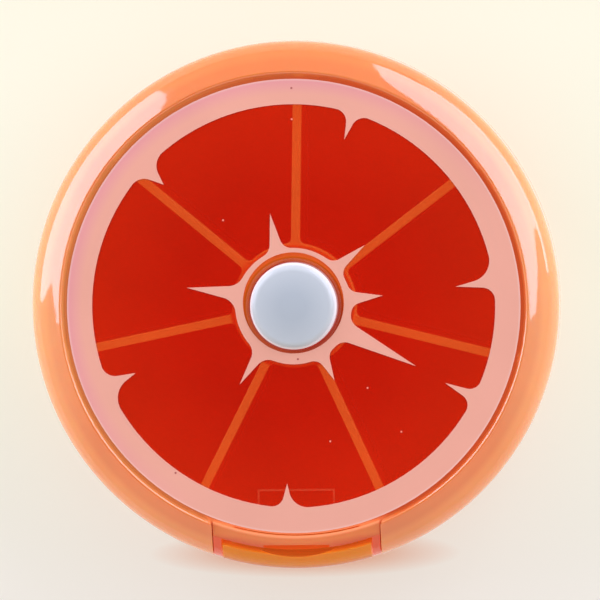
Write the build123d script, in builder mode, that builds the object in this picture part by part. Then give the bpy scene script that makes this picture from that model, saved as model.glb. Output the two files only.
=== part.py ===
from build123d import *
from math import acos, cos, pi, radians, sin, sqrt
import os

os.makedirs("parts", exist_ok=True)

# Weekly pill organizer, lying on its back with the printed face up. Millimetres.
# The origin is the centre of the flat back, +Z points out of the face, and the
# dispensing door is on the -Y side. Pressing the button steps the wheel by one day.

# Case
case_radius = 45.0
case_wall = 1.6
back_edge_radius = 9.0
front_edge_radius = 4.6
front_crown_radius = 14.0
front_blend_angle = 50.0
front_rise = 0.55
parting_rise = 2.0
parting_chamfer = 0.25
lap_height = 1.5
lap_thickness = 0.8
lap_clearance = 0.1

# Fence round the wheel, and the ledge that carries the face disc
rim_width = 6.0
fence_wall = 1.2
fence_height = 19.2
ledge_thickness = 0.6
ledge_width = 1.2
disc_clearance = 0.2
disc_thickness = 1.6
disc_edge_chamfer = 0.2
crest_width = 0.7
crest_depth = 0.6
crest_fillet = 0.35

# Locating lugs on the rim of the disc
lug_spacing = 11.1
lug_width = 1.6
lug_reach = 0.5
lug_root = 1.0
lug_clearance = 0.15

# Outline of the pill port moulded under the disc
port_mark_width = 13.2
port_mark_length = 6.6
port_mark_line = 0.35
port_mark_depth = 0.25

# Dispensing chute and door
chute_width = 25.7
chute_wall = 1.35
chute_inset = 0.1
chute_foot_angle = -60
lip_width = 2.5
lip_relief_width = 11.2
lip_relief_length = 0.8
lip_relief_depth = 0.9
notch_corner_radius = 2.0
notch_clearance = 0.2
sill_rise = 1.0
sill_clearance = 0.2
door_clearance = 0.2
door_foot_angle = -70
door_top_gap = 0.4
door_edge_break = 0.6
scoop_width = 13.0
scoop_inset = 0.9
hinge_inset = 4.0
hinge_height = 5.6
heel_radius = 3.0
heel_clearance = 0.45
knuckle_radius = 1.9
pin_radius = 0.6
pin_clearance = 0.05
pin_engagement = 0.75
ear_width = 1.2
ear_depth = 2.6
ear_height = 4.0
bead_radius = 0.6
bead_height = 0.12
bead_rise = 7.4
dimple_clearance = 0.2
dimple_depth = 0.3

# Wheel
days = 7
first_wall_angle = 88.6
wheel_clearance = 1.4
wheel_lift = 0.6
wheel_floor = 1.2
wheel_top_clearance = 0.3
wheel_wall = 1.45
wheel_foot_fillet = 0.6
compartment_corner = 1.0
wheel_top_chamfer = 0.2
hub_gap = 0.75
hub_wall = 1.3
boss_wall = 0.8
boss_height = 1.6
rail_inset = 4.0
rail_width = 1.2
thrust_gap = 0.1
thrust_pad_radius = 6.2

# Post that the wheel, the rotor and the button run on
post_radius = 3.0
post_rise = 0.9
post_chamfer = 0.4
post_core_radius = 1.6
post_core_floor = 3.2
running_clearance = 0.1

# Guide collar in the middle of the disc
collar_wall = 0.9
collar_clearance = 0.05
collar_flange_width = 1.75
collar_flange_thickness = 0.7
collar_chamfer = 0.5
slot_angle = 24.0
cam_gap = 0.3
cam_rise = 1.1
cam_overrun = 0.3

# Button, plunger and rotor
button_radius = 7.4
button_clearance = 0.25
button_proud = 1.8
button_dome_radius = 46.0
button_edge_fillet = 1.5
button_wall = 1.2
button_stem_radius = 2.4
button_stem_gap = 0.2
button_travel = 3.0
travel_spare = 0.5
post_top_clearance = 0.4
plunger_clearance = 0.15
plunger_skirt = 1.7
plunger_web = 1.4
plunger_lug_clearance = 0.25
plunger_lug_width = 2.4
plunger_tooth_inset = 0.2
tooth_gap = 0.15
tooth_height = 1.2
tooth_width = 2.3
rotor_clearance = 0.25
rotor_height = 3.2
rotor_web = 1.5
rotor_tooth_inset = 0.2
rotor_tooth_end = 0.1
spline_width = 1.4
spline_depth = 0.6
spline_clearance = 0.2

# Return spring
spring_wire_radius = 0.3
spring_turns = 5
spring_seat_gap = 0.03
spring_clearance = 0.3
cup_clearance = 0.6

# Printed layers on the disc: see-through pulp, then opaque rind and pith
print_inset = 0.2
pulp_inset = 1.6
pulp_thickness = 0.05
ink_thickness = 0.08
ink_gap = 0.02
rind_band = 4.3
pith_band = 1.3
point_root = 1.0
print_turn = -0.7
print_hole_shift = 0.55

# Points of the rind: tip angle, length, base angles, and the two corner radii
rind_points = [
    (137.0, 4.1, 134.4, 140.0, 3.0, 2.6),
    (73.0, 4.7, 71.3, 74.5, 2.2, 2.2),
    (7.0, 6.5, 5.3, 8.9, 2.2, 3.6),
    (-26.7, 5.4, -28.1, -24.7, 2.0, 2.0),
    (-92.0, 4.1, -93.6, -90.1, 2.0, 3.2),
    (-156.9, 5.1, -159.0, -154.6, 2.4, 3.8),
]

# Points of the pith star: the same values
pith_points = [
    (104.2, 6.3, 99.8, 114.2, 2.0, 2.2),
    (170.4, 8.5, 159.6, 175.2, 2.8, 2.8),
    (235.6, 6.3, 228.3, 240.9, 2.4, 2.4),
    (299.1, 4.5, 294.8, 307.0, 1.9, 1.9),
    (334.1, 13.3, 324.5, 344.5, 2.2, 2.2),
    (6.9, 5.4, 0.9, 14.9, 1.9, 1.9),
    (40.6, 6.1, 35.9, 48.1, 2.0, 2.0),
]

# Radii from the outside of the case inwards
back_edge_center = case_radius - back_edge_radius
front_edge_center = case_radius - front_edge_radius
case_inner_radius = case_radius - case_wall
lap_radius = case_radius - lap_thickness
fence_radius = case_radius - rim_width
front_crown_center = front_edge_center - (
    front_crown_radius - front_edge_radius) * cos(radians(front_blend_angle))
fence_outer_radius = fence_radius + fence_wall
crest_radius = fence_radius + crest_width
disc_radius = fence_radius - disc_clearance
ledge_radius = fence_radius - ledge_width
wheel_radius = fence_radius - wheel_clearance
rail_radius = wheel_radius - rail_inset
rind_radius = disc_radius - print_inset
rind_inner_radius = rind_radius - rind_band
pulp_radius = rind_radius - pulp_inset

# Radii from the middle outwards
boss_radius = post_radius + running_clearance + boss_wall
spring_radius = boss_radius + spring_clearance + spring_wire_radius
rotor_cup_radius = spring_radius + spring_wire_radius + cup_clearance
collar_bore_radius = button_radius + button_clearance
plunger_radius = collar_bore_radius - plunger_clearance
collar_radius = collar_bore_radius + collar_wall
collar_hole_radius = collar_radius + collar_clearance
pith_radius = collar_hole_radius + pith_band
hub_bore_radius = collar_radius + hub_gap
hub_radius = hub_bore_radius + hub_wall
rotor_radius = hub_bore_radius - rotor_clearance
spline_bore_radius = hub_bore_radius - spline_depth

# Heights
disc_bottom = fence_height + ledge_thickness
disc_top = disc_bottom + disc_thickness
front_crown_height = disc_top + front_rise - sqrt(
    front_crown_radius**2 - (crest_radius - front_crown_center) ** 2)
front_edge_height = front_crown_height + (
    front_crown_radius - front_edge_radius) * sin(radians(front_blend_angle))
parting_height = back_edge_radius + parting_rise
wheel_floor_height = case_wall + wheel_lift
wheel_floor_top = wheel_floor_height + wheel_floor
wheel_height = fence_height - wheel_top_clearance
rotor_bottom = wheel_floor_top + boss_height + button_travel + travel_spare
rotor_top = rotor_bottom + rotor_height
rotor_seat = rotor_top - rotor_web
rotor_tip = rotor_top + tooth_height
collar_bottom = rotor_tip + cam_gap
post_height = rotor_tip + post_rise
plunger_bottom = rotor_tip + tooth_gap + tooth_height
plunger_web_bottom = post_height + button_travel + post_top_clearance
plunger_web_top = plunger_web_bottom + plunger_web
button_height = disc_top + button_proud
pulp_bottom = disc_top + ink_gap
ink_bottom = pulp_bottom + pulp_thickness + ink_gap
spring_bottom = wheel_floor_top + spring_wire_radius + spring_seat_gap
spring_height = rotor_seat - wheel_floor_top - 2 * (spring_wire_radius + spring_seat_gap)
spring_pitch = spring_height / spring_turns
day_angle = 360 / days

# Chute and door
notch_width = chute_width + 2 * (chute_wall + notch_clearance)
lip_radius = fence_radius + lip_width
chute_outer = chute_width / 2 + chute_wall
hinge_reach = case_radius - hinge_inset
chute_sill_radius = hinge_reach - sill_clearance
relief_radius = heel_radius + heel_clearance
bead_z = hinge_height + bead_rise
door_width = chute_width - 2 * door_clearance
door_top_radius = lip_radius + door_top_gap
scoop_reach = door_top_radius + scoop_inset


def front_arc(radius, inset=0.0):
    """Centre and radius of the arc on which a skin of the front round reaches a radius."""
    edge_reach = front_edge_radius - inset
    if radius > front_edge_center + edge_reach * cos(radians(front_blend_angle)):
        return (front_edge_center, front_edge_height), edge_reach
    return (front_crown_center, front_crown_height), front_crown_radius - inset


def front_z(radius, inset=0.0):
    """Height of the front round, or of a skin inside it, at a radius."""
    center, reach = front_arc(radius, inset)
    return center[1] + sqrt(reach**2 - (radius - center[0]) ** 2)


def round_arc(center, radius, start, end):
    """An arc about a centre, from one angle to another."""
    points = []
    for angle in (start, (start + end) / 2, end):
        turn = radians(angle)
        points.append((center[0] + radius * cos(turn), center[1] + radius * sin(turn)))
    ThreePointArc(*points)


def back_round(inset, start, end):
    round_arc((back_edge_center, back_edge_radius), back_edge_radius - inset, start, end)


def back_point(inset, angle):
    """A point on the back round, or on a skin inside it."""
    reach = back_edge_radius - inset
    return (back_edge_center + reach * cos(radians(angle)),
            back_edge_radius + reach * sin(radians(angle)))


def front_round(inset, radius):
    """Front round, or a skin inside it, from the side of the case inwards to a radius."""
    center, reach = front_arc(radius, inset)
    inner_angle = acos((radius - center[0]) / reach) * 180 / pi
    round_arc((front_edge_center, front_edge_height), front_edge_radius - inset,
              0, min(inner_angle, front_blend_angle))
    if inner_angle > front_blend_angle:
        round_arc(center, reach, front_blend_angle, inner_angle)


def polar(radius, angle):
    return (radius * cos(radians(angle)), radius * sin(radians(angle)))


def tangent_plane(radius, angle):
    """A plane square to a radius: its x runs round the axis and its y is up."""
    x, y = polar(radius, angle)
    return Plane((x, y, 0), x_dir=(-y, x, 0), z_dir=(x, y, 0))


def finish(builder, name):
    builder.part.label = name
    export_step(builder.part, f"parts/{name}.step")


# Body of revolution bounded by the outside of the case
with BuildPart() as case_outline:
    with BuildSketch(Plane.XZ):
        with BuildLine():
            Line((0, 0), (back_edge_center, 0))
            back_round(0, -90, 0)
            Line((case_radius, back_edge_radius), (case_radius, front_edge_height))
            front_round(0, front_crown_center)
            Polyline((front_crown_center, front_crown_height + front_crown_radius),
                     (0, front_crown_height + front_crown_radius), (0, 0))
        make_face()
    revolve(axis=Axis.Z)

# Plan of the bezel round the chute: its ends are rounded next to the disc
with BuildSketch() as bezel_plan:
    Circle(case_radius + rim_width)
    Circle(fence_radius, mode=Mode.SUBTRACT)
    with Locations((0, -case_radius)):
        Rectangle(notch_width, case_radius, mode=Mode.SUBTRACT)
    fillet(bezel_plan.vertices().group_by(Axis.Y)[-1], radius=notch_corner_radius)

# Chute walls and the lip between them, which stand in the notch of the bezel
with BuildPart() as chute_frame:
    with BuildSketch(Plane.XZ):
        with BuildLine():
            frame_radius = fence_radius + notch_clearance
            Polyline((fence_radius, case_wall), (fence_radius, fence_height),
                     (frame_radius, fence_height), (frame_radius, disc_top),
                     (lip_radius, front_z(lip_radius, chute_inset)))
            front_round(chute_inset, lip_radius)
            Line((case_radius - chute_inset, front_edge_height),
                 (case_radius - chute_inset, back_edge_radius))
            back_round(chute_inset, 0, chute_foot_angle)
            Line(back_point(chute_inset, chute_foot_angle), (fence_radius, case_wall))
        make_face()
    revolve(axis=Axis.Z)
    with BuildSketch(Plane.XY):
        with Locations((0, -case_radius)):
            Rectangle(2 * chute_outer, case_radius)
    extrude(amount=2 * front_edge_height, mode=Mode.INTERSECT)
    # Room of the chute below the lip, and of the door outside it
    with BuildSketch(Plane.XY):
        with Locations((0, -case_radius)):
            Rectangle(chute_width, case_radius)
    extrude(amount=fence_height, mode=Mode.SUBTRACT)
    with BuildSketch(Plane.XY.offset(fence_height)):
        with Locations((0, -case_radius)):
            Rectangle(chute_width, case_radius)
        Circle(lip_radius, mode=Mode.SUBTRACT)
    extrude(amount=front_edge_height, mode=Mode.SUBTRACT)
    # Step in the edge of the lip, over the thumbnail scoop of the door
    with BuildSketch(Plane.XY.offset(front_z(lip_radius) - lip_relief_depth)):
        with Locations((0, -lip_radius)):
            Rectangle(lip_relief_width, 2 * lip_relief_length)
    extrude(amount=front_edge_height, mode=Mode.SUBTRACT)

# Back shell: floor, rim, fence, chute and the post in the middle
with BuildPart() as back_shell:
    with BuildSketch(Plane.XZ):
        with BuildLine():
            Line((0, 0), (back_edge_center, 0))
            back_round(0, -90, 0)
            Polyline((case_radius, back_edge_radius),
                     (case_radius, parting_height - parting_chamfer),
                     (case_radius - parting_chamfer, parting_height),
                     (lap_radius, parting_height),
                     (lap_radius, parting_height - lap_height),
                     (case_inner_radius, parting_height - lap_height),
                     (case_inner_radius, back_edge_radius))
            back_round(case_wall, 0, -90)
            Polyline((back_edge_center, case_wall), (0, case_wall), (0, 0))
        make_face()
    revolve(axis=Axis.Z)
    with BuildSketch(Plane.XY.offset(case_wall)):
        Circle(fence_outer_radius)
        Circle(fence_radius, mode=Mode.SUBTRACT)
    extrude(amount=fence_height - case_wall)
    with BuildSketch(Plane.XY.offset(case_wall)):
        Circle(rail_radius + rail_width / 2)
        Circle(rail_radius - rail_width / 2, mode=Mode.SUBTRACT)
        Circle(thrust_pad_radius)
    extrude(amount=wheel_floor_height - thrust_gap - case_wall)
    with BuildSketch(Plane.XY.offset(case_wall)):
        Circle(post_radius)
    extrude(amount=post_height - case_wall)
    chamfer(back_shell.faces().filter_by(Axis.Z).sort_by(
        lambda face: abs(face.center().Z - post_height))[0].edges(), length=post_chamfer)
    with BuildSketch(Plane.XY.offset(post_core_floor)):
        Circle(post_core_radius)
    extrude(amount=post_height, mode=Mode.SUBTRACT)
    # Mouth of the chute through the fence and the rim
    with BuildSketch(Plane.XY.offset(case_wall + sill_rise)):
        with Locations((0, -case_radius)):
            Rectangle(chute_width, 2 * (case_radius - wheel_radius))
    extrude(amount=front_edge_height * 2, mode=Mode.SUBTRACT)
    with BuildSketch(Plane.XY):
        with Locations((0, -case_radius)):
            Rectangle(chute_width, case_radius)
        Circle(chute_sill_radius, mode=Mode.SUBTRACT)
    extrude(amount=front_edge_height * 2, mode=Mode.SUBTRACT)
    with BuildSketch(Plane.YZ.offset(-chute_width / 2)):
        with Locations((-hinge_reach, hinge_height)):
            Circle(relief_radius)
    extrude(amount=chute_width, mode=Mode.SUBTRACT)
    add(chute_frame.part)
    # Holes for the hinge pin and dimples for the door's snap beads
    pin_half_length = chute_width / 2 + pin_engagement
    with BuildSketch(Plane.YZ.offset(-pin_half_length)):
        with Locations((-hinge_reach, hinge_height)):
            Circle(pin_radius + pin_clearance)
    extrude(amount=2 * pin_half_length, mode=Mode.SUBTRACT)
    with BuildSketch(Plane.YZ.offset(-chute_width / 2 - dimple_depth)):
        with Locations((-hinge_reach, bead_z)):
            Circle(bead_radius + dimple_clearance)
    extrude(amount=chute_width + 2 * dimple_depth, mode=Mode.SUBTRACT)
finish(back_shell, "back_shell")

# Front bezel: rounded ring with the ledge for the disc and the notch for the door
with BuildPart() as front_bezel:
    with BuildSketch(Plane.XZ):
        with BuildLine():
            lip_root = fence_outer_radius + 2 * notch_clearance
            Line((case_radius, parting_height + parting_chamfer), (case_radius, front_edge_height))
            front_round(0, crest_radius)
            Polyline((crest_radius, front_z(crest_radius)), (fence_radius, disc_top - crest_depth),
                     (fence_radius, disc_bottom), (ledge_radius, disc_bottom),
                     (ledge_radius, fence_height), (lip_root, fence_height),
                     (lip_root, front_z(lip_root, case_wall)))
            front_round(case_wall, lip_root)
            Polyline((case_inner_radius, front_edge_height),
                     (case_inner_radius, parting_height - lap_height + lap_clearance),
                     (lap_radius - lap_clearance, parting_height - lap_height + lap_clearance),
                     (lap_radius - lap_clearance, parting_height),
                     (case_radius - parting_chamfer, parting_height),
                     (case_radius, parting_height + parting_chamfer))
        make_face()
    revolve(axis=Axis.Z)
    crest = front_bezel.edges().filter_by(GeomType.CIRCLE).sort_by(Axis.Z)[-1]
    fillet(crest, radius=crest_fillet)
    # Notch for the chute, outside the ledge
    with BuildSketch(Plane.XY):
        Circle(case_radius + rim_width)
        Circle(fence_radius, mode=Mode.SUBTRACT)
        add(bezel_plan.sketch, mode=Mode.SUBTRACT)
    extrude(amount=front_edge_height * 2, mode=Mode.SUBTRACT)
    # Recesses for the lugs of the disc
    with BuildSketch(Plane.XY.offset(disc_bottom)):
        with Locations((-lug_spacing / 2, disc_radius / 2), (lug_spacing / 2, disc_radius / 2)):
            Rectangle(lug_width + 2 * lug_clearance, disc_radius)
        Circle(disc_radius + lug_reach + lug_clearance, mode=Mode.INTERSECT)
    extrude(amount=front_edge_height, mode=Mode.SUBTRACT)
finish(front_bezel, "front_bezel")

# Face disc with its two lugs, and the port outline on its underside
with BuildPart() as face_disc:
    with BuildSketch(Plane.XY.offset(disc_bottom)):
        Circle(disc_radius)
    extrude(amount=disc_thickness)
    chamfer(face_disc.edges().sort_by(Axis.Z)[-1], length=disc_edge_chamfer)
    with BuildSketch(Plane.XY.offset(disc_bottom)):
        with Locations((-lug_spacing / 2, disc_radius / 2), (lug_spacing / 2, disc_radius / 2)):
            Rectangle(lug_width, disc_radius)
        Circle(disc_radius + lug_reach, mode=Mode.INTERSECT)
        Circle(disc_radius - lug_root, mode=Mode.SUBTRACT)
    extrude(amount=disc_thickness - disc_edge_chamfer)
    with BuildSketch(Plane.XY.offset(disc_bottom)):
        Circle(collar_hole_radius)
    extrude(amount=disc_thickness, mode=Mode.SUBTRACT)
    with BuildSketch(Plane.XY.offset(disc_bottom)):
        with Locations((0, -ledge_radius)):
            Rectangle(port_mark_width, 2 * port_mark_length)
        with Locations((0, -ledge_radius - port_mark_line)):
            Rectangle(port_mark_width - 2 * port_mark_line, 2 * port_mark_length,
                      mode=Mode.SUBTRACT)
        Circle(ledge_radius, mode=Mode.INTERSECT)
    extrude(amount=port_mark_depth, mode=Mode.SUBTRACT)
finish(face_disc, "face_disc")


def pointed(sketch, points, circle_radius, outward):
    """Add tapering points to a round sketch and round the corners at their feet."""
    for tip_angle, length, low, high, _, _ in points:
        tip = Vector(*polar(circle_radius + outward * length, tip_angle))
        outline = [tip]
        for angle in (low, high):
            foot = Vector(*polar(circle_radius, angle))
            outline.append(foot + (foot - tip).normalized() * point_root)
        Polygon(*[(point.X, point.Y) for point in outline], align=None)
    for _, _, low, high, low_fillet, high_fillet in points:
        for angle, corner_radius in ((low, low_fillet), (high, high_fillet)):
            foot = Vector(*polar(circle_radius, angle))
            fillet(sketch.vertices().sort_by_distance(foot)[0], radius=corner_radius)


# Print: see-through pulp colour
with BuildPart() as pulp_print:
    with BuildSketch(Plane.XY.offset(pulp_bottom)):
        Circle(pulp_radius)
        with Locations((0, print_hole_shift)):
            Circle(collar_hole_radius, mode=Mode.SUBTRACT)
    extrude(amount=pulp_thickness)
finish(pulp_print, "pulp_print")

# Place of the opaque print, which is turned a little against the case
ink_place = Location((0, 0, ink_bottom), (0, 0, print_turn))

# Print: rind band with points between the segments
with BuildPart() as rind_print:
    with BuildSketch() as rind_shape:
        Circle(rind_radius)
        Circle(rind_inner_radius, mode=Mode.SUBTRACT)
        pointed(rind_shape, rind_points, rind_inner_radius, -1)
    extrude(rind_shape.sketch.moved(ink_place), amount=ink_thickness)
finish(rind_print, "rind_print")

# Print: star of pith round the button
with BuildPart() as pith_print:
    with BuildSketch() as pith_shape:
        Circle(pith_radius)
        pointed(pith_shape, pith_points, pith_radius, 1)
        with Locations((0, print_hole_shift)):
            Circle(collar_hole_radius, mode=Mode.SUBTRACT)
    extrude(pith_shape.sketch.moved(ink_place), amount=ink_thickness)
finish(pith_print, "pith_print")

# Guide collar: tube in the middle of the disc, with seven slots that key the button
with BuildPart() as guide_collar:
    with BuildSketch(Plane.XY.offset(collar_bottom)):
        Circle(collar_radius)
    extrude(amount=disc_top - collar_bottom)
    with BuildSketch(Plane.XY.offset(disc_bottom)):
        Circle(collar_radius + collar_flange_width)
    extrude(amount=-collar_flange_thickness)
    with BuildSketch(Plane.XY.offset(collar_bottom)):
        Circle(collar_bore_radius)
    extrude(amount=disc_top - collar_bottom, mode=Mode.SUBTRACT)
    inner_rim = guide_collar.edges().filter_by(GeomType.CIRCLE).group_by(Axis.Z)[-1].sort_by(
        SortBy.RADIUS)[0]
    chamfer(inner_rim, length=collar_chamfer)
    with BuildSketch(Plane.XY.offset(collar_bottom)):
        for day in range(days):
            middle = first_wall_angle + day * day_angle
            Polygon((0, 0), polar(2 * collar_radius, middle - slot_angle / 2),
                    polar(2 * collar_radius, middle + slot_angle / 2), align=None)
        Circle(plunger_radius, mode=Mode.SUBTRACT)
    extrude(amount=plunger_web_bottom - collar_bottom, mode=Mode.SUBTRACT)
    # The foot of each finger is a slanted cam face
    for day in range(days):
        middle = first_wall_angle + (day + 0.5) * day_angle
        half_finger = collar_radius * sin(radians((day_angle - slot_angle) / 2)) + cam_overrun
        with BuildSketch(tangent_plane(collar_bore_radius - cam_overrun, middle)):
            Polygon((-half_finger, collar_bottom - cam_overrun),
                    (half_finger, collar_bottom - cam_overrun),
                    (half_finger, collar_bottom + cam_rise), align=None)
        extrude(amount=collar_wall + 2 * cam_overrun, mode=Mode.SUBTRACT)
finish(guide_collar, "guide_collar")

# Space of one compartment, between two walls and open at the rim
with BuildPart() as compartment:
    with BuildSketch(Plane.XY.offset(wheel_floor_top)) as compartment_plan:
        half_day = radians(day_angle / 2)
        apex = wheel_wall / 2 / sin(half_day)
        reach = 2 * wheel_radius
        Polygon((apex, 0), (apex + reach * cos(half_day), -reach * sin(half_day)),
                (apex + reach * cos(half_day), reach * sin(half_day)), align=None)
        Circle(wheel_radius + fence_wall, mode=Mode.INTERSECT)
        Circle(hub_radius, mode=Mode.SUBTRACT)
        fillet(compartment_plan.vertices().group_by(Axis.X)[0], radius=compartment_corner)
    extrude(amount=wheel_height)
    fillet(compartment.faces().sort_by(Axis.Z)[0].edges(), radius=wheel_foot_fillet)

# Wheel: seven open compartments round a hub with splines inside
with BuildPart() as pill_wheel:
    with BuildSketch(Plane.XY.offset(wheel_floor_height)):
        Circle(wheel_radius)
    extrude(amount=wheel_height - wheel_floor_height)
    with PolarLocations(0, days, start_angle=first_wall_angle + day_angle / 2):
        add(compartment.part, mode=Mode.SUBTRACT)
    with BuildSketch(Plane.XY.offset(wheel_floor_top)):
        Circle(hub_bore_radius)
    extrude(amount=wheel_height, mode=Mode.SUBTRACT)
    chamfer(pill_wheel.faces().sort_by(Axis.Z)[-1].edges(), length=wheel_top_chamfer)
    # Boss and bore that run on the post
    with BuildSketch(Plane.XY.offset(wheel_floor_top)):
        Circle(boss_radius)
    extrude(amount=boss_height)
    with BuildSketch(Plane.XY.offset(wheel_floor_height)):
        Circle(post_radius + running_clearance)
    extrude(amount=wheel_height, mode=Mode.SUBTRACT)
    # Splines that turn with the rotor and let it slide
    with BuildSketch(Plane.XY.offset(wheel_floor_top)):
        for day in range(days):
            with Locations(Location((0, 0, 0), (0, 0, first_wall_angle + day * day_angle))):
                Rectangle(hub_radius - hub_wall / 2, spline_width, align=(Align.MIN, Align.CENTER))
        Circle(spline_bore_radius, mode=Mode.SUBTRACT)
    extrude(amount=rotor_top - wheel_floor_top)
finish(pill_wheel, "pill_wheel")

# Rotor: toothed cup that slides on the splines and turns the wheel
with BuildPart() as index_rotor:
    with BuildSketch(Plane.XY.offset(rotor_bottom)):
        Circle(rotor_radius)
    extrude(amount=rotor_top - rotor_bottom)
    with BuildSketch(Plane.XY.offset(rotor_bottom)):
        Circle(rotor_cup_radius)
    extrude(amount=rotor_seat - rotor_bottom, mode=Mode.SUBTRACT)
    with BuildSketch(Plane.XY.offset(rotor_bottom)):
        Circle(post_radius + running_clearance)
    extrude(amount=rotor_top, mode=Mode.SUBTRACT)
    with BuildSketch(Plane.XY.offset(rotor_bottom)):
        for day in range(days):
            with Locations(Location((0, 0, 0), (0, 0, first_wall_angle + day * day_angle))):
                Rectangle(2 * rotor_radius, spline_width + 2 * spline_clearance,
                          align=(Align.MIN, Align.CENTER))
        Circle(spline_bore_radius - spline_clearance, mode=Mode.SUBTRACT)
    extrude(amount=rotor_top, mode=Mode.SUBTRACT)
    tooth_start = rotor_cup_radius + rotor_tooth_inset
    tooth_end = spline_bore_radius - spline_clearance - rotor_tooth_end
    for tooth in range(2 * days):
        angle = first_wall_angle + (tooth + 0.5) * day_angle / 2
        with BuildSketch(tangent_plane(tooth_start, angle)):
            Polygon((-tooth_width / 2, rotor_top), (tooth_width / 2, rotor_top),
                    (tooth_width / 2, rotor_tip), align=None)
        extrude(amount=tooth_end - tooth_start)
finish(index_rotor, "index_rotor")

# Crown of the button, and the underside of its roof
dome_drop = button_dome_radius - sqrt(button_dome_radius**2 - button_radius**2)
half_way_drop = button_dome_radius - sqrt(button_dome_radius**2 - (button_radius / 2) ** 2)
button_shoulder = button_height - dome_drop
button_roof = button_shoulder - button_wall

# Plunger: toothed skirt under the button, keyed in the slots of the collar
with BuildPart() as button_plunger:
    with BuildSketch(Plane.XY.offset(plunger_bottom)):
        Circle(plunger_radius)
    extrude(amount=plunger_web_top - plunger_bottom)
    with BuildSketch(Plane.XY.offset(plunger_bottom)):
        Circle(plunger_radius - plunger_skirt)
    extrude(amount=plunger_web_bottom - plunger_bottom, mode=Mode.SUBTRACT)
    with BuildSketch(Plane.XY.offset(plunger_bottom)):
        for day in range(days):
            with Locations(Location((0, 0, 0), (0, 0, first_wall_angle + day * day_angle))):
                Rectangle(collar_radius - plunger_lug_clearance, plunger_lug_width,
                          align=(Align.MIN, Align.CENTER))
        Circle(plunger_radius - plunger_skirt / 2, mode=Mode.SUBTRACT)
    extrude(amount=plunger_web_bottom - plunger_lug_clearance - plunger_bottom)
    for tooth in range(2 * days):
        angle = first_wall_angle + tooth * day_angle / 2
        with BuildSketch(tangent_plane(plunger_radius - plunger_skirt + plunger_tooth_inset, angle)):
            Polygon((-tooth_width / 2, plunger_bottom), (tooth_width / 2, plunger_bottom),
                    (-tooth_width / 2, plunger_bottom - tooth_height), align=None)
        extrude(amount=plunger_skirt - 2 * plunger_tooth_inset)
    with BuildSketch(Plane.XY.offset(plunger_web_top)):
        Circle(button_stem_radius)
    extrude(amount=button_roof - button_stem_gap - plunger_web_top)
finish(button_plunger, "button_plunger")

# Button: hollow cap with a crowned top, pressed on the stem of the plunger
with BuildPart() as push_button:
    with BuildSketch(Plane.XZ):
        with BuildLine():
            socket_radius = button_stem_radius + button_wall
            socket_top = button_roof - button_stem_gap
            ThreePointArc((0, button_height), (button_radius / 2, button_height - half_way_drop),
                          (button_radius, button_shoulder))
            Polyline((button_radius, button_shoulder), (button_radius, plunger_web_top),
                     (button_radius - button_wall, plunger_web_top),
                     (button_radius - button_wall, button_roof), (socket_radius, button_roof),
                     (socket_radius, plunger_web_top), (button_stem_radius, plunger_web_top),
                     (button_stem_radius, socket_top), (0, socket_top), (0, button_height))
        make_face()
    revolve(axis=Axis.Z)
    shoulder = push_button.edges().filter_by(GeomType.CIRCLE).filter_by(
        lambda edge: abs(edge.center().Z - button_shoulder) < 0.01)
    fillet(shoulder, radius=button_edge_fillet)
finish(push_button, "push_button")


def spring_point(turn):
    angle = 2 * pi * turn
    return Vector(spring_radius * cos(angle), spring_radius * sin(angle),
                  spring_bottom + spring_pitch * turn)


def spring_direction(turn):
    angle = 2 * pi * turn
    return Vector(-2 * pi * spring_radius * sin(angle), 2 * pi * spring_radius * cos(angle),
                  spring_pitch).normalized()


def biarc(start, start_direction, end, end_direction):
    """Two arcs that leave and arrive in the given directions and meet smoothly."""
    chord = end - start
    along = chord.dot(start_direction + end_direction)
    spread = 2 - 2 * start_direction.dot(end_direction)
    reach = (sqrt(along**2 + spread * chord.dot(chord)) - along) / spread
    first = start + start_direction * reach
    second = end - end_direction * reach
    middle = (first + second) * 0.5
    TangentArc(start, middle, tangent=start_direction)
    TangentArc(middle, end, tangent=(second - first).normalized())


# Return spring: an open coil between the wheel's floor and the rotor
with BuildPart() as return_spring:
    with BuildLine() as coil:
        for quarter in range(4 * spring_turns):
            biarc(spring_point(quarter / 4), spring_direction(quarter / 4),
                  spring_point((quarter + 1) / 4), spring_direction((quarter + 1) / 4))
    with BuildSketch(Plane(coil.line @ 0, z_dir=coil.line % 0)):
        Circle(spring_wire_radius)
    sweep(path=coil.line)
finish(return_spring, "return_spring")
samples = [coil.line @ (step / (80 * spring_turns)) for step in range(80 * spring_turns + 1)]
spacing = min((first - second).length for index, first in enumerate(samples)
              for second in samples[index + 40:])
print(f"return spring: least gap to itself {spacing - 2 * spring_wire_radius:.2f} mm")

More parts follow.
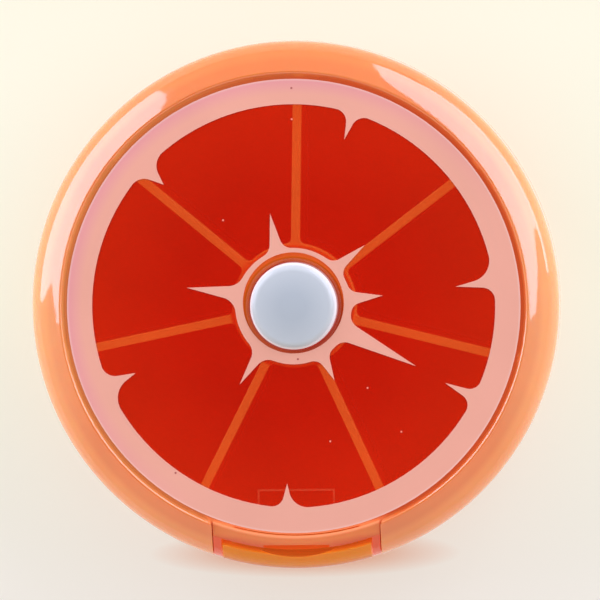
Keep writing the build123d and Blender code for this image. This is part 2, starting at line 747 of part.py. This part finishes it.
# Dispensing door: a piece of the rim that turns on the pin at its foot
with BuildPart() as dispensing_door:
    with BuildSketch(Plane.XZ):
        with BuildLine():
            break_radius = door_top_radius + door_edge_break
            back_round(0, door_foot_angle, 0)
            Line((case_radius, back_edge_radius), (case_radius, front_edge_height))
            front_round(0, break_radius)
            Polyline((break_radius, front_z(break_radius)),
                     (door_top_radius, front_z(break_radius) - door_edge_break),
                     (door_top_radius, front_z(door_top_radius, case_wall)))
            front_round(case_wall, door_top_radius)
            Line((case_inner_radius, front_edge_height), (case_inner_radius, back_edge_radius))
            back_round(case_wall, 0, door_foot_angle)
            Line(back_point(case_wall, door_foot_angle), back_point(0, door_foot_angle))
        make_face()
    revolve(axis=Axis.Z)
    with BuildSketch(Plane.YZ.offset(-door_width / 2)):
        with Locations((-case_radius, hinge_height)):
            Rectangle(case_radius, 2 * front_edge_height, align=(Align.CENTER, Align.MIN))
        with Locations((-hinge_reach, hinge_height)):
            Circle(heel_radius)
    extrude(amount=door_width, mode=Mode.INTERSECT)
    with BuildSketch(Plane.YZ.offset(-door_width / 2)):
        with Locations((-hinge_reach, hinge_height)):
            Circle(knuckle_radius)
    extrude(amount=door_width)
    add(case_outline.part, mode=Mode.INTERSECT)
    with BuildSketch(Plane.YZ.offset(-door_width / 2)):
        with Locations((-hinge_reach, hinge_height)):
            Circle(pin_radius + pin_clearance)
    extrude(amount=door_width, mode=Mode.SUBTRACT)
    # Thumbnail scoop in the top edge
    scoop_half = scoop_width / 2
    scoop_depth = scoop_reach - sqrt(door_top_radius**2 - scoop_half**2)
    scoop_radius = (scoop_half**2 + scoop_depth**2) / (2 * scoop_depth)
    with BuildSketch(Plane.XY.offset(front_edge_height)):
        with Locations((0, scoop_radius - scoop_reach)):
            Circle(scoop_radius)
    extrude(amount=front_edge_height, mode=Mode.SUBTRACT)
    # Ears inside the door carry its snap beads
    for side in (-1, 1):
        with BuildSketch(Plane.YZ.offset(side * door_width / 2)):
            with Locations((-hinge_reach, bead_z)):
                Rectangle(ear_depth, ear_height)
        extrude(amount=-side * ear_width)
        with BuildSketch(Plane.YZ.offset(side * (door_width / 2 + bead_height))):
            with Locations((-hinge_reach, bead_z)):
                Circle(bead_radius)
        extrude(amount=-side * ear_width)
finish(dispensing_door, "dispensing_door")

# Hinge pin through the door and both chute walls
with BuildPart() as door_hinge_pin:
    with BuildSketch(Plane.YZ.offset(-pin_half_length + pin_clearance)):
        with Locations((-hinge_reach, hinge_height)):
            Circle(pin_radius)
    extrude(amount=2 * (pin_half_length - pin_clearance))
finish(door_hinge_pin, "door_hinge_pin")
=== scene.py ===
import math

import bmesh
import bpy
from mathutils import Matrix, Vector


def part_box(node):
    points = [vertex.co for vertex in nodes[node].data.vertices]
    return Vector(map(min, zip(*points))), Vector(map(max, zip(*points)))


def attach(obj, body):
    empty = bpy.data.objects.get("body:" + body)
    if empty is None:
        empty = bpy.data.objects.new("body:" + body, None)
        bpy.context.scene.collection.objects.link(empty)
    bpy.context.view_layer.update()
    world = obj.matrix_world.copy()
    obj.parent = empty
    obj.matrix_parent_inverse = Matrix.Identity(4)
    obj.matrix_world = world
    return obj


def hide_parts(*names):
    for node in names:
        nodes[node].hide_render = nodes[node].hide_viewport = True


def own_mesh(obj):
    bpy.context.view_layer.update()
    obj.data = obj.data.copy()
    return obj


# A round pill organizer that lies on its back under two softboxes, seen square to its printed face.
# Metres throughout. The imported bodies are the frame; this script gives them their finishes.

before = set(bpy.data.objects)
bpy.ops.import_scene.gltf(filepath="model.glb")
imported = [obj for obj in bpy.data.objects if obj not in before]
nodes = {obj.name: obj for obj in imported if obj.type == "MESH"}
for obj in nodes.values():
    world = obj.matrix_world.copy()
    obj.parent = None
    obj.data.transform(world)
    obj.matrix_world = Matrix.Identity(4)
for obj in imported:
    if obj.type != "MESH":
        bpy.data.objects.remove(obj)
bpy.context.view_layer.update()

MM = 0.001

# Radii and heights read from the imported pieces
case_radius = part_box("front_bezel")[1].x
recess_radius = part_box("face_disc")[1].x + 0.2 * MM
disc_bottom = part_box("face_disc")[0].z
disc_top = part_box("face_disc")[1].z
wheel_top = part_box("pill_wheel")[1].z
button_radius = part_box("push_button")[1].x
spring_low, spring_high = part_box("return_spring")

# Chute walls, from the middle to their inner and outer faces, and the edge of the lip over the door
chute_inside = 12.8 * MM
chute_outside = 14.4 * MM
lip_edge_radius = 41.5 * MM


def linear(red, green, blue):
    """An sRGB colour of 0 to 255 as the linear colour that a shader takes."""
    def channel(value):
        value /= 255
        return value / 12.92 if value <= 0.04045 else ((value + 0.055) / 1.055) ** 2.4
    return (channel(red), channel(green), channel(blue), 1.0)


class Finish:
    """A node-based material round one Principled shader, on Object coordinates."""

    def __init__(self, name, **sockets):
        self.material = bpy.data.materials.new(name)
        self.material.use_nodes = True
        self.tree = self.material.node_tree
        self.shader = self.tree.nodes["Principled BSDF"]
        self.coordinates = self.tree.nodes.new("ShaderNodeTexCoord").outputs["Object"]
        for socket, value in sockets.items():
            self.shader.inputs[socket.replace("_", " ")].default_value = value

    def node(self, kind, inputs=(), **settings):
        made = self.tree.nodes.new(kind)
        for name, value in settings.items():
            setattr(made, name, value)
        for socket, value in dict(inputs).items():
            if isinstance(value, bpy.types.NodeSocket):
                self.tree.links.new(value, made.inputs[socket])
            else:
                made.inputs[socket].default_value = value
        return made

    def set(self, socket, value):
        self.tree.links.new(value, self.shader.inputs[socket])

    def noise(self, scale, detail=2.0):
        made = self.node("ShaderNodeTexNoise", {"Vector": self.coordinates, "Scale": scale,
                                                "Detail": detail})
        return made.outputs["Fac"]

    def ramp(self, value, stops):
        """Colours of stops, a list of (position, colour), looked up by value."""
        made = self.node("ShaderNodeValToRGB", {"Fac": value})
        while len(made.color_ramp.elements) < len(stops):
            made.color_ramp.elements.new(0.5)
        for element, (position, colour) in zip(made.color_ramp.elements, stops):
            element.position = position
            element.color = colour
        return made.outputs["Color"]

    def math(self, operation, first, second=0.0):
        made = self.node("ShaderNodeMath", {0: first, 1: second}, operation=operation)
        return made.outputs["Value"]

    def map(self, value, low, high, to_low=0.0, to_high=1.0):
        made = self.node("ShaderNodeMapRange", {"Value": value, "From Min": low, "From Max": high,
                                                "To Min": to_low, "To Max": to_high})
        return made.outputs["Result"]

    def mix(self, factor, first, second, blend="MIX"):
        made = self.node("ShaderNodeMix", data_type="RGBA", blend_type=blend)
        for socket, value in zip((made.inputs[0], made.inputs[6], made.inputs[7]),
                                 (factor, first, second)):
            if isinstance(value, bpy.types.NodeSocket):
                self.tree.links.new(value, socket)
            else:
                socket.default_value = value
        return made.outputs[2]

    def xyz(self):
        split = self.node("ShaderNodeSeparateXYZ", {"Vector": self.coordinates})
        return split.outputs["X"], split.outputs["Y"], split.outputs["Z"]

    def length(self, across, along):
        """Length of a flat vector."""
        squares = self.math("ADD", self.math("MULTIPLY", across, across),
                            self.math("MULTIPLY", along, along))
        return self.math("SQRT", squares)

    def radius(self):
        """Distance from the axis of the case."""
        x, y, _ = self.xyz()
        return self.length(x, y)

    def all_of(self, *masks):
        """Mask of where all the given masks are on."""
        product = masks[0]
        for mask in masks[1:]:
            product = self.math("MULTIPLY", product, mask)
        return product

    def cloudy(self, tone, scale, low, high, detail=3, spread=0.2):
        """The tone, made a little uneven by soft clouds between low and high."""
        clouds = self.map(self.noise(scale, detail), 0.5 - spread, 0.5 + spread, low, high)
        return self.mix(1.0, tone, clouds, "MULTIPLY")

    def glow(self, colour, strength=1.0):
        """Painted light: light that the surface gives off though it is no lamp, standing in for light
        through the plastic; on the floor it keeps the paper evenly bright.
        """
        self.set("Emission Color", colour)
        self.shader.inputs["Emission Strength"].default_value = strength

    def bump(self, height, distance):
        made = self.node("ShaderNodeBump", {"Height": height, "Distance": distance})
        self.set("Normal", made.outputs["Normal"])


def chute_tones(finish, tone, light):
    """Colours of the chute walls beside the door, seen on edge, and of the room inside the chute, each
    with its painted glow.
    """
    x, y, z = finish.xyz()
    across = finish.math("ABSOLUTE", x)
    radius = finish.radius()
    front = finish.map(y, -38.5 * MM, -39.5 * MM)
    strip = finish.all_of(front, finish.map(across, chute_inside - 0.2 * MM, chute_inside),
                          finish.map(across, chute_outside, chute_outside - 0.2 * MM),
                          finish.map(z, 9.0 * MM, 15.0 * MM),
                          finish.map(radius, lip_edge_radius - 0.2 * MM, lip_edge_radius + 0.1 * MM))
    inside = finish.all_of(front, finish.map(across, chute_inside + 0.1 * MM, chute_inside),
                           finish.map(z, disc_top - 0.5 * MM, disc_top - 0.8 * MM),
                           finish.map(radius, recess_radius + 0.4 * MM, recess_radius + 0.7 * MM))
    # Painted shade: the lip over the door is painted darker towards its edge, with a dimmer painted
    # glow
    edge = finish.all_of(front, finish.map(radius, lip_edge_radius - 1.3 * MM, lip_edge_radius))
    tone = finish.mix(edge, tone, linear(208, 74, 4))
    light = finish.mix(edge, light, linear(84, 24, 6))
    # The strips and the room inside the chute get their own tones and a painted glow that lifts the
    # shade there
    tone = finish.mix(strip, tone, linear(208, 64, 0))
    tone = finish.mix(inside, tone, linear(212, 88, 20))
    light = finish.mix(strip, light, linear(134, 38, 0))
    return tone, finish.mix(inside, light, linear(156, 54, 14))


def case_finish(name, inner, outer, edge, glow=linear(90, 44, 26), coat=0.8, chute=False):
    """Translucent moulded plastic, deep next to the disc and paler round the rim; coat is its gloss and
    glow the colour of its painted glow.
    """
    finish = Finish(name, Roughness=0.07, IOR=1.49, Specular_IOR_Level=0.1 + coat,
                    Coat_Weight=coat, Coat_Roughness=0.05, Subsurface_Weight=0.5,
                    Subsurface_Radius=(1.0, 0.35, 0.12), Subsurface_Scale=2.0 * MM)
    x, y, _ = finish.xyz()
    share = finish.map(finish.radius(), recess_radius, case_radius)
    tone = finish.ramp(share, [(0.0, inner), (0.44, inner), (0.6, outer), (0.88, outer),
                               (1.0, edge)])
    # Painted light: the sides are painted paler, as the light comes from both sides, and painted shade
    # makes the top a deeper orange
    side = finish.map(finish.math("ABSOLUTE", x), 34 * MM, 43 * MM, 0.0, 0.4)
    tone = finish.mix(side, tone, linear(255, 184, 122))
    top = finish.map(y, 28 * MM, 42 * MM, 0.0, 0.55)
    tone = finish.mix(top, tone, linear(226, 110, 28))
    # Painted shade in the recess round the disc, more golden at the left and with its own tone at the
    # lip over the door, lifted by a painted glow
    painted_recess_shade = finish.map(share, 0.12, 0.05)
    away = finish.map(y, -37.0 * MM, -35.5 * MM)
    left = finish.map(x, 10 * MM, -30 * MM)
    # deep is the painted shade of the recess; its painted glow follows
    deep = finish.mix(left, linear(206, 90, 44), linear(196, 122, 68))
    painted_recess_glow = finish.mix(left, linear(154, 72, 36), linear(160, 100, 56))
    tone = finish.mix(painted_recess_shade, tone, finish.mix(away, linear(190, 110, 70), deep))
    light = finish.mix(painted_recess_shade, glow, finish.mix(away, linear(206, 124, 78), painted_recess_glow))
    if chute:
        tone, light = chute_tones(finish, tone, light)
    finish.set("Base Color", finish.cloudy(tone, 60, 0.95, 1.03, spread=0.15))
    finish.glow(light)
    finish.bump(finish.noise(900, 2), 0.003 * MM)
    return finish.material


def wheel_finish():
    """Orange moulding whose wall tops are painted lighter and given a painted glow, standing in for
    light that comes through the disc.
    """
    finish = Finish("wheel_orange", Roughness=0.35, IOR=1.49, Specular_IOR_Level=0.3)
    x, y, z = finish.xyz()
    lit = finish.map(z, wheel_top - 2.5 * MM, wheel_top - 0.2 * MM)
    # Painted light: the ring of the hub glows at the upper right only, with painted shade at the lower
    # left
    hub = finish.map(finish.radius(), 11.2 * MM, 10.8 * MM)
    shade = finish.all_of(hub, finish.map(finish.math("ADD", x, y), 4 * MM, -6 * MM))
    top_light = finish.mix(shade, linear(160, 110, 44), linear(90, 16, 6))
    finish.set("Base Color", finish.mix(lit, linear(190, 50, 15), linear(240, 138, 56)))
    finish.glow(finish.mix(lit, linear(64, 9, 3), top_light))
    return finish.material


def steel_finish(name, colour, roughness):
    """Drawn steel, with a little unevenness in tone and gloss."""
    finish = Finish(name, Metallic=1.0)
    finish.set("Base Color", finish.cloudy(colour, 120, 0.96, 1.02))
    finish.set("Roughness", finish.map(finish.noise(400, 2), 0.3, 0.7, roughness * 0.85,
                                       roughness * 1.15))
    return finish.material


def clear_finish():
    """Clear disc, see-through without bending the view, so that the print and the wheel show."""
    finish = Finish("clear_disc", Roughness=0.05, IOR=1.49)
    _, _, z = finish.xyz()
    # Painted highlight: the walls and roof of the groove under the disc are painted lighter and less
    # see-through, where they catch the light
    above = finish.map(z, disc_bottom + 0.02 * MM, disc_bottom + 0.05 * MM)
    below = finish.map(z, disc_bottom + 0.4 * MM, disc_bottom + 0.3 * MM)
    painted_groove_highlight = finish.all_of(above, below)
    tone = finish.mix(painted_groove_highlight, linear(236, 120, 90), linear(255, 176, 120))
    finish.set("Base Color", finish.cloudy(tone, 80, 0.96, 1.0, detail=2))
    finish.set("Alpha", finish.map(painted_groove_highlight, 0.0, 1.0, 0.05, 0.75))
    return finish.material


def specks(finish, spacing, size, share):
    """Mask of a few dust specks, each in its own cell of a grid about spacing wide."""
    cells = finish.node("ShaderNodeTexVoronoi", {"Vector": finish.coordinates,
                                                 "Scale": 1 / spacing}, voronoi_dimensions="2D")
    near = finish.math("LESS_THAN", cells.outputs["Distance"], size / spacing)
    chance = finish.node("ShaderNodeSeparateColor", {"Color": cells.outputs["Color"]})
    chosen = finish.math("LESS_THAN", chance.outputs["Red"], share)
    return finish.all_of(near, chosen)


def pulp_finish():
    """See-through red print, a little lighter towards the rind, with a few light specks."""
    finish = Finish("pulp_ink", Roughness=0.16, IOR=1.49, Specular_IOR_Level=0.4)
    share = finish.map(finish.radius(), 18.0 * MM, 34.0 * MM)
    tone = finish.mix(share, linear(241, 30, 4), linear(245, 44, 11))
    tone = finish.cloudy(tone, 45, 0.93, 1.05)
    dust = specks(finish, 6.0 * MM, 0.16 * MM, 0.08)
    finish.set("Base Color", finish.mix(dust, tone, linear(250, 160, 140)))
    finish.set("Alpha", finish.map(dust, 0.0, 1.0, 0.42, 0.8))
    return finish.material


def rind_finish():
    """Opaque pink print, lilac towards the rim at the upper left, with a few dark specks."""
    finish = Finish("rind_ink", Roughness=0.2, IOR=1.49, Specular_IOR_Level=0.4)
    x, y, _ = finish.xyz()
    rim = finish.map(finish.radius(), 36.0 * MM, 38.6 * MM)
    upper_left = finish.map(finish.math("SUBTRACT", y, x), -20 * MM, 30 * MM)
    lilac = finish.all_of(rim, upper_left)
    tone = finish.mix(lilac, linear(248, 175, 154), linear(243, 160, 162))
    # Painted highlight: the edge of the print is painted lighter, where it catches the light
    edge = finish.map(finish.radius(), 38.25 * MM, 38.45 * MM, 0.0, 0.6)
    tone = finish.mix(edge, tone, linear(255, 204, 190))
    tone = finish.cloudy(tone, 50, 0.97, 1.03)
    dust = specks(finish, 7.0 * MM, 0.18 * MM, 0.1)
    finish.set("Base Color", finish.mix(dust, tone, linear(190, 100, 95)))
    return finish.material


def button_finish():
    """Glossy white cap, painted greyer in the middle and lighter towards its rounded edge, where a
    painted glow stands for the light of the room.
    """
    finish = Finish("button_white", Roughness=0.12, IOR=1.49, Specular_IOR_Level=0.6)
    share = finish.map(finish.radius(), 0.0, button_radius)
    rim = finish.map(share, 0.93, 0.99)
    tone = finish.ramp(share, [(0.3, linear(191, 196, 204)), (0.82, linear(206, 209, 215)),
                               (0.93, linear(214, 215, 220)), (0.99, linear(236, 236, 238))])
    finish.set("Base Color", finish.cloudy(tone, 120, 0.98, 1.01))
    finish.glow(finish.mix(rim, linear(0, 0, 0), linear(130, 126, 130)))
    finish.bump(finish.noise(1500, 2), 0.002 * MM)
    return finish.material


def collar_finish():
    """Red-orange tube with painted shade: lighter at its mouth, darker at the lower right and deep red
    inside, with a painted glow at its mouth and flange.
    """
    finish = Finish("collar_red", Roughness=0.2, IOR=1.49, Specular_IOR_Level=0.5)
    x, y, z = finish.xyz()
    mouth = finish.map(z, disc_top - 3.6 * MM, disc_top - 2.0 * MM)
    shade = finish.map(finish.math("SUBTRACT", x, y), -4 * MM, 10 * MM)
    lit_tone = finish.mix(shade, linear(198, 80, 16), linear(168, 40, 8))
    tone = finish.mix(mouth, linear(150, 24, 12), lit_tone)
    finish.set("Base Color", finish.cloudy(tone, 120, 0.96, 1.02))
    flange = finish.map(finish.radius(), 8.4 * MM, 8.6 * MM)
    mouth_light = finish.mix(flange, linear(76, 28, 6), linear(172, 78, 32))
    finish.glow(finish.mix(mouth, linear(96, 16, 8), mouth_light))
    return finish.material


def acetal_finish():
    """White acetal with a painted red glow where it faces the gap round the button."""
    finish = Finish("acetal_white", Roughness=0.35, IOR=1.49)
    gap = finish.map(finish.radius(), 7.0 * MM, 7.3 * MM)
    finish.set("Base Color", finish.cloudy(linear(232, 230, 224), 120, 0.96, 1.02))
    finish.glow(finish.mix(gap, linear(0, 0, 0), linear(120, 22, 10)))
    return finish.material


finishes = {
    "front_bezel": case_finish("case_orange", linear(236, 130, 68), linear(247, 148, 78),
                               linear(246, 156, 84)),
    "back_shell": case_finish("back_orange", linear(230, 118, 34), linear(236, 118, 50),
                              linear(246, 150, 88), chute=True),
    # The door's dark edge colour is painted shade on its steep front face, and its glow a painted glow
    "dispensing_door": case_finish("door_amber", linear(218, 98, 22), linear(222, 130, 30),
                                   linear(172, 64, 10), glow=linear(116, 60, 18), coat=0.2),
    "face_disc": clear_finish(),
    "guide_collar": collar_finish(),
    "pulp_print": pulp_finish(),
    "rind_print": rind_finish(),
    "pill_wheel": wheel_finish(),
    "push_button": button_finish(),
    "index_rotor": acetal_finish(),
    "door_hinge_pin": steel_finish("pin_steel", linear(190, 190, 194), 0.25),
    "return_spring": steel_finish("spring_steel", linear(170, 170, 175), 0.3),
}
finishes["pith_print"] = finishes["rind_print"]
finishes["button_plunger"] = finishes["index_rotor"]

for name, material in finishes.items():
    mesh = nodes[name].data
    mesh.materials.clear()
    mesh.materials.append(material)


def coil_tree():
    """Geometry nodes of a coil: a helix, with a round wire swept along it."""
    tree = bpy.data.node_groups.new("coil", "GeometryNodeTree")
    tree.interface.new_socket("Geometry", in_out="OUTPUT", socket_type="NodeSocketGeometry")
    sockets = {}
    for name, kind in (("Turns", "NodeSocketFloat"), ("Coil radius", "NodeSocketFloat"),
                       ("Wire radius", "NodeSocketFloat"), ("Height", "NodeSocketFloat"),
                       ("Material", "NodeSocketMaterial")):
        made = tree.interface.new_socket(name, in_out="INPUT", socket_type=kind)
        sockets[name] = made.identifier
    given = tree.nodes.new("NodeGroupInput").outputs
    helix = tree.nodes.new("GeometryNodeCurveSpiral")
    helix.inputs["Resolution"].default_value = 36
    wire = tree.nodes.new("GeometryNodeCurvePrimitiveCircle")
    wire.inputs["Resolution"].default_value = 12
    swept = tree.nodes.new("GeometryNodeCurveToMesh")
    swept.inputs["Fill Caps"].default_value = True
    plain = tree.nodes.new("GeometryNodeRealizeInstances")
    painted = tree.nodes.new("GeometryNodeSetMaterial")
    result = tree.nodes.new("NodeGroupOutput")
    for source, target in ((given["Turns"], helix.inputs["Rotations"]),
                           (given["Coil radius"], helix.inputs["Start Radius"]),
                           (given["Coil radius"], helix.inputs["End Radius"]),
                           (given["Height"], helix.inputs["Height"]),
                           (given["Wire radius"], wire.inputs["Radius"]),
                           (helix.outputs["Curve"], swept.inputs["Curve"]),
                           (wire.outputs["Curve"], swept.inputs["Profile Curve"]),
                           (swept.outputs["Mesh"], plain.inputs["Geometry"]),
                           (plain.outputs["Geometry"], painted.inputs["Geometry"]),
                           (given["Material"], painted.inputs["Material"]),
                           (painted.outputs["Geometry"], result.inputs["Geometry"])):
        tree.links.new(source, target)
    return tree, sockets


def coil_spring(material):
    """Return spring as one round wire between the wheel and the rotor."""
    wire_radius = 0.3 * MM
    tree, sockets = coil_tree()
    holder = bpy.data.objects.new("coil_holder", bpy.data.meshes.new("coil_holder"))
    bpy.context.scene.collection.objects.link(holder)
    modifier = holder.modifiers.new("coil", "NODES")
    modifier.node_group = tree
    for name, value in (("Turns", 5.0), ("Wire radius", wire_radius), ("Material", material),
                        ("Coil radius", (spring_high.x - spring_low.x) / 2 - wire_radius),
                        ("Height", spring_high.z - spring_low.z - 2 * wire_radius)):
        modifier[sockets[name]] = value
    evaluated = holder.evaluated_get(bpy.context.evaluated_depsgraph_get())
    data = bpy.data.meshes.new_from_object(evaluated)
    bpy.data.objects.remove(holder)
    for vertex in data.vertices:
        vertex.co.z += spring_low.z + wire_radius
    for face in data.polygons:
        face.use_smooth = len(face.vertices) == 4
    spring = bpy.data.objects.new("coil_spring", data)
    bpy.context.scene.collection.objects.link(spring)
    return spring


spring = coil_spring(finishes["return_spring"])
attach(spring, "wheel")
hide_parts("return_spring")
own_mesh(spring)


def floor():
    """Plain pale floor, lit from below as well, so that it stays even round the object."""
    finish = Finish("floor_paper", Roughness=0.8, Specular_IOR_Level=0.1)
    x, y, _ = finish.xyz()
    # Painted shade: the floor is a little darker towards -Y
    share = finish.map(y, -52 * MM, 52 * MM)
    tone = finish.ramp(share, [(0.0, linear(246, 240, 231)), (0.5, linear(251, 251, 232)),
                               (1.0, linear(254, 249, 228))])
    tone = finish.cloudy(tone, 6, 0.99, 1.0)
    # Painted light: warm light that the case throws on the paper by the door, painted into the floor's
    # colour
    across = finish.math("DIVIDE", x, 27 * MM)
    along = finish.math("DIVIDE", finish.math("ADD", y, 43.6 * MM), 4.2 * MM)
    painted_warm_light = finish.map(finish.length(across, along), 1.0, 0.35, 0.0, 0.85)
    tone = finish.mix(painted_warm_light, tone, linear(232, 166, 130))
    finish.set("Base Color", finish.mix(1.0, tone, (0.42, 0.42, 0.42, 1), "MULTIPLY"))
    finish.glow(tone, 0.6)
    mesh = bmesh.new()
    bmesh.ops.create_circle(mesh, cap_ends=True, segments=96, radius=4.0,
                            matrix=Matrix.Translation((0, 0, -0.05 * MM)))
    data = bpy.data.meshes.new("floor")
    mesh.to_mesh(data)
    mesh.free()
    data.materials.append(finish.material)
    made = bpy.data.objects.new("floor", data)
    bpy.context.scene.collection.objects.link(made)


def aim(toward, roll=0.0):
    """Turn of an object whose back points along toward, with its top side up the floor."""
    right = Vector((0, 1, 0)).cross(toward)
    if abs(toward.z) < math.sin(math.radians(80)):
        right = Vector((0, 0, 1)).cross(toward)
    right.normalize()
    up = toward.cross(right)
    turn = Matrix((right, up, toward)).transposed()
    return turn @ Matrix.Rotation(math.radians(roll), 3, "Z")


# Distance of every light from the object, in metres
light_distance = 1.4


def direction(azimuth, elevation):
    """Unit vector towards a place in the room, given in degrees."""
    turn, lift = math.radians(azimuth), math.radians(elevation)
    return Vector((math.cos(turn) * math.cos(lift), math.sin(turn) * math.cos(lift),
                   math.sin(lift)))


def light_material(name, radiance, colour):
    material = bpy.data.materials.new(name)
    material.use_nodes = True
    shader = material.node_tree.nodes["Principled BSDF"]
    shader.inputs["Base Color"].default_value = (0, 0, 0, 1)
    shader.inputs["Emission Color"].default_value = (*colour, 1)
    shader.inputs["Emission Strength"].default_value = radiance
    return material


def softbox(name, radiance, strips):
    """A curved soft light round the object, of strips of (azimuth, low and high elevation)."""
    mesh = bmesh.new()
    for strip in strips:
        edges = [[mesh.verts.new(direction(azimuth, elevation) * light_distance)
                  for elevation in (low, (low + high) / 2, high)] for azimuth, low, high in strip]
        for first, second in zip(edges, edges[1:]):
            for row in range(2):
                mesh.faces.new((first[row], second[row], second[row + 1], first[row + 1]))
    data = bpy.data.meshes.new(name)
    mesh.to_mesh(data)
    mesh.free()
    data.materials.append(light_material(name, radiance, (0.96, 1.03, 1.25)))
    made = bpy.data.objects.new(name, data)
    made.visible_camera = False
    bpy.context.scene.collection.objects.link(made)


def overhead_light(name, azimuth, elevation, size, radiance):
    """A square soft light that faces the object; size is its angle in degrees."""
    away = direction(azimuth, elevation)
    light = bpy.data.lights.new(name, "AREA")
    light.size = 2 * light_distance * math.tan(math.radians(size / 2))
    light.energy = radiance * math.pi * light.size**2
    made = bpy.data.objects.new(name, light)
    made.matrix_world = Matrix.Translation(away * light_distance) @ aim(away).to_4x4()
    bpy.context.scene.collection.objects.link(made)


def room():
    """Even pale room, dark overhead, where the photographer stands."""
    world = bpy.data.worlds.new("room")
    world.use_nodes = True
    tree = world.node_tree
    coordinates = tree.nodes.new("ShaderNodeTexCoord")
    split = tree.nodes.new("ShaderNodeSeparateXYZ")
    ramp = tree.nodes.new("ShaderNodeValToRGB")
    ramp.color_ramp.elements[0].position = 0.78
    ramp.color_ramp.elements[0].color = (0.68, 0.67, 0.62, 1)
    ramp.color_ramp.elements[1].position = 0.93
    ramp.color_ramp.elements[1].color = (0.03, 0.03, 0.035, 1)
    tree.links.new(coordinates.outputs["Generated"], split.inputs["Vector"])
    tree.links.new(split.outputs["Z"], ramp.inputs["Fac"])
    tree.links.new(ramp.outputs["Color"], tree.nodes["Background"].inputs["Color"])
    bpy.context.scene.world = world


def studio():
    """Two softboxes low at the upper left and right, and two dim lights overhead."""
    softbox("left_softbox", 3.6, [
        [(125, 20, 22), (126.5, 12, 32), (129, 5, 38), (134, 1, 40), (141, 1, 41), (150, 1, 41.5),
         (160, 1, 41.5), (170, 1, 41), (177, 4, 39)],
        [(177, 24, 39), (181, 29, 37), (186, 33, 34)],
        [(177, 4, 23), (179, 8, 16), (181, 11, 12)],
    ])
    softbox("right_softbox", 3.4, [
        [(74, 15, 17), (70, 12, 30), (67.5, 10, 37), (64, 7, 39), (59, 3, 41), (50, 1, 42),
         (40, 1, 43), (30, 1, 43), (16, 1, 43)],
        [(16, 20, 43), (8, 25, 43), (2, 29, 42), (-6, 34, 41)],
        [(16, 1, 15), (11, 1, 11), (5, 1, 6)],
    ])
    overhead_light("back_light", 90, 58, 24, 0.6)
    overhead_light("front_light", 270, 58, 24, 0.4)


def camera():
    """Long lens at the photograph's angle: a little to the right of the axis and above it."""
    pixels_per_metre = 5853
    image_side = 600
    center_column, center_row = 296.8, 303.9
    silhouette_height = 12.6 * MM
    tilt_right, tilt_up = math.radians(3.8), math.radians(2.4)
    roll = -0.7
    distance = 1.5
    view_width = image_side / pixels_per_metre
    data = bpy.data.cameras.new("camera")
    data.sensor_width = 36
    data.lens = data.sensor_width * distance / view_width
    data.clip_end = 20
    data.shift_x = (image_side / 2 - center_column) / image_side
    data.shift_y = (center_row - image_side / 2) / image_side
    made = bpy.data.objects.new("camera", data)
    toward = Vector((math.tan(tilt_right), math.tan(tilt_up), 1)).normalized()
    place = Vector((0, 0, silhouette_height)) + toward * distance
    made.matrix_world = Matrix.Translation(place) @ aim(toward, roll).to_4x4()
    bpy.context.scene.collection.objects.link(made)
    bpy.context.scene.camera = made


floor()
room()
studio()
camera()
bpy.context.scene.view_settings.view_transform = "Standard"
